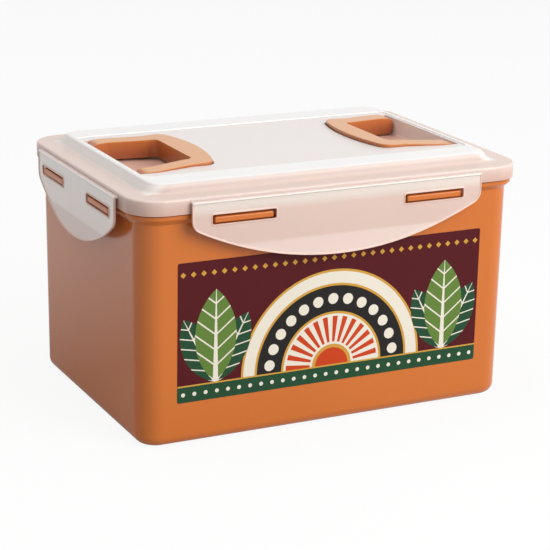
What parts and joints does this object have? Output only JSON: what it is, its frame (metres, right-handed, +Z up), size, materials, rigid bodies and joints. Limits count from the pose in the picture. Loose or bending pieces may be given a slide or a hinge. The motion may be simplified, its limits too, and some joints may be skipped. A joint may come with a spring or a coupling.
{
  "type": "kimchi crock",
  "caption": "Rectangular lock-lid kimchi container with hinged flaps, fold-down carry handles and a sliding press plate with a vent inside.",
  "frame": {"origin": "middle of the resting face, on the surface the crock stands on", "axes": "+X along the long side, -Y out of the labelled front, +Z up through the lid"},
  "size_m": [0.3608, 0.2608, 0.2153],
  "materials": {
    "terracotta_plastic": "satin moulded polypropylene, terracotta",
    "milky_plastic": "milky translucent polypropylene",
    "tan_plastic": "satin moulded polypropylene, tan",
    "silicone": "soft translucent silicone",
    "label_film": "printed film label"
  },
  "bodies": {
    "container": {"container_body": "terracotta_plastic", "front_label": "label_film"},
    "lid": {"lid_shell": "milky_plastic", "lid_gasket": "silicone"},
    "front_flap": {"front_flap": "milky_plastic"},
    "back_flap": {"back_flap": "milky_plastic"},
    "left_flap": {"left_flap": "milky_plastic"},
    "right_flap": {"right_flap": "milky_plastic"},
    "left_handle": {"left_handle": "tan_plastic"},
    "right_handle": {"right_handle": "tan_plastic"},
    "press_plate": {"press_plate": "terracotta_plastic", "wiper_seal": "silicone"},
    "plate_grip": {"plate_grip": "tan_plastic"},
    "vent_plug": {"vent_plug": "silicone"}
  },
  "joints": [
    {"name": "lid_lift", "type": "slide", "parent": "container", "child": "lid", "axis": [0, 0, 1], "range_m": [0, 0.25]},
    {"name": "front_flap_hinge", "type": "hinge", "parent": "lid", "child": "front_flap", "pos_m": [0, -0.128, 0.2015], "axis": [-1, 0, 0], "range_deg": [0, 150]},
    {"name": "back_flap_hinge", "type": "hinge", "parent": "lid", "child": "back_flap", "pos_m": [0, 0.128, 0.2015], "axis": [1, 0, 0], "range_deg": [0, 150]},
    {"name": "left_flap_hinge", "type": "hinge", "parent": "lid", "child": "left_flap", "pos_m": [-0.178, 0, 0.2015], "axis": [0, 1, 0], "range_deg": [0, 150]},
    {"name": "right_flap_hinge", "type": "hinge", "parent": "lid", "child": "right_flap", "pos_m": [0.178, 0, 0.2015], "axis": [0, -1, 0], "range_deg": [0, 150]},
    {"name": "left_handle_hinge", "type": "hinge", "parent": "lid", "child": "left_handle", "pos_m": [-0.1376, 0, 0.2054], "axis": [0, -1, 0], "range_deg": [0, 90]},
    {"name": "right_handle_hinge", "type": "hinge", "parent": "lid", "child": "right_handle", "pos_m": [0.1376, 0, 0.2054], "axis": [0, 1, 0], "range_deg": [0, 90]},
    {"name": "plate_lift", "type": "slide", "parent": "container", "child": "press_plate", "axis": [0, 0, 1], "range_m": [0, 0.13]},
    {"name": "plate_grip_hinge", "type": "hinge", "parent": "press_plate", "child": "plate_grip", "pos_m": [0, -0.023, 0.0093], "axis": [1, 0, 0], "range_deg": [0, 90]},
    {"name": "vent_pull", "type": "slide", "parent": "press_plate", "child": "vent_plug", "axis": [0, 0, 1], "range_m": [0, 0.008]}
  ]
}
